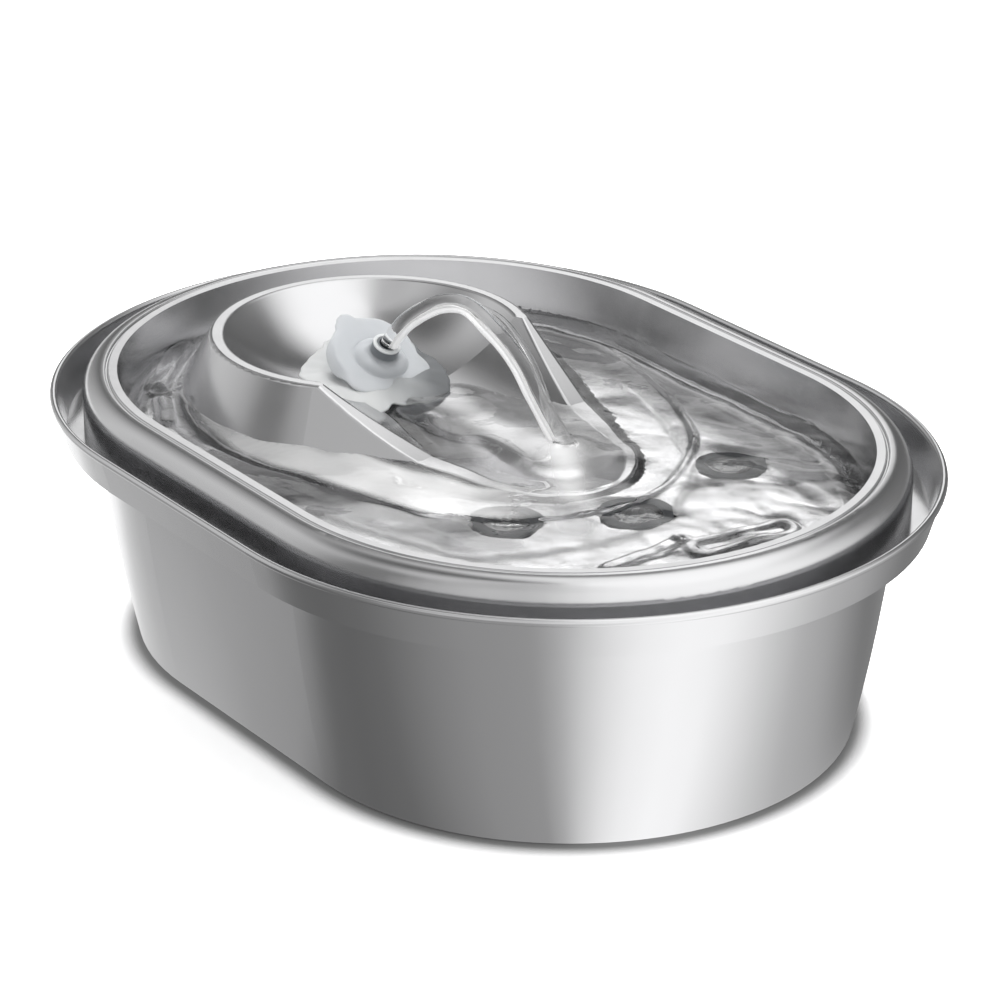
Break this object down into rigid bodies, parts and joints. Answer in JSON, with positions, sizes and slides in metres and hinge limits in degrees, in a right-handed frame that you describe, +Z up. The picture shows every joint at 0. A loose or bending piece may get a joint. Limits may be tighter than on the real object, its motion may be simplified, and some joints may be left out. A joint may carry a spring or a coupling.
{
  "type": "pet water fountain",
  "caption": "Obround steel pet water fountain: a basin with a submersible pump and filter, and a lift-out tray with an island bowl, flower spout and chute.",
  "frame": {"origin": "middle of the basin's underside, on the surface it stands on", "axes": "+X along the length towards the drinking end, with the spout over the -X end, +Z up"},
  "size_m": [0.3004, 0.22, 0.0947],
  "materials": {
    "basin_steel": "satin deep-drawn stainless steel",
    "tray_steel": "polished stainless steel",
    "frosted_silicone": "frosted translucent silicone",
    "tip_plastic": "moulded clear grey plastic",
    "strainer_plastic": "moulded dark grey plastic",
    "grommet_silicone": "moulded pale silicone",
    "sleeve_plastic": "moulded pale plastic",
    "clear_tube": "extruded clear tube",
    "case_plastic": "moulded white polypropylene",
    "cup_silicone": "moulded pale silicone",
    "pump_plastic": "moulded black ABS",
    "screw_steel": "bright steel",
    "core_steel": "laminated iron",
    "bobbin_plastic": "moulded nylon",
    "copper_wire": "enamelled copper wire",
    "black_rubber": "moulded rubber",
    "ceramic": "ground ceramic",
    "magnet": "sintered ferrite",
    "impeller_plastic": "moulded white plastic",
    "dial_plastic": "moulded grey plastic",
    "foam": "open-cell foam",
    "cartridge_plastic": "moulded white plastic",
    "cotton": "felted cotton",
    "carbon": "granular activated carbon",
    "resin": "ion exchange beads"
  },
  "bodies": {
    "basin": {"basin": "basin_steel", "filter_case": "case_plastic", "case_lid": "case_plastic", "suction_cups": "cup_silicone", "pump_housing": "pump_plastic", "pump_back_plate": "pump_plastic", "pump_screws": "screw_steel", "stator_core": "core_steel", "coil_bobbin": "bobbin_plastic", "stator_coil": "copper_wire", "volute_cover": "pump_plastic", "chamber_seal": "black_rubber", "impeller_shaft": "ceramic", "shaft_bushes": "black_rubber", "cable_gland": "black_rubber", "riser_tube": "clear_tube"},
    "tray": {"tray": "tray_steel", "drain_strainers": "strainer_plastic", "spout_grommet": "grommet_silicone"},
    "spout": {"spout_sleeve": "sleeve_plastic"},
    "flower": {"flower_nozzle": "frosted_silicone", "jet_tip": "tip_plastic"},
    "rotor": {"impeller": "impeller_plastic", "rotor_magnet": "magnet"},
    "dial": {"flow_dial": "dial_plastic"},
    "intake": {"intake_cover": "pump_plastic", "pre_filter_foam": "foam"},
    "cartridge": {"cartridge_frame": "cartridge_plastic", "cartridge_grille": "cartridge_plastic", "filter_cotton": "cotton", "carbon_bed": "carbon", "resin_bed": "resin"}
  },
  "joints": [
    {"name": "tray_lift", "type": "slide", "parent": "basin", "child": "tray", "axis": [0, 0, 1], "range_m": [0, 0.06]},
    {"name": "spout_swivel", "type": "hinge", "parent": "tray", "child": "spout", "pos_m": [-0.0616, 0, 0.07], "axis": [0, 0, 1], "continuous": true},
    {"name": "flower_lift", "type": "slide", "parent": "spout", "child": "flower", "axis": [0, 0, 1], "range_m": [0, 0.025]},
    {"name": "rotor_spin", "type": "hinge", "parent": "basin", "child": "rotor", "pos_m": [-0.08, 0, 0.022], "axis": [1, 0, 0], "continuous": true},
    {"name": "dial_turn", "type": "hinge", "parent": "basin", "child": "dial", "pos_m": [-0.0527, 0, 0.022], "axis": [1, 0, 0], "range_deg": [0, 45]},
    {"name": "intake_pull", "type": "slide", "parent": "basin", "child": "intake", "axis": [1, 0, 0], "range_m": [0, 0.009]},
    {"name": "cartridge_slide", "type": "slide", "parent": "basin", "child": "cartridge", "axis": [1, 0, 0], "range_m": [0, 0.05]}
  ]
}
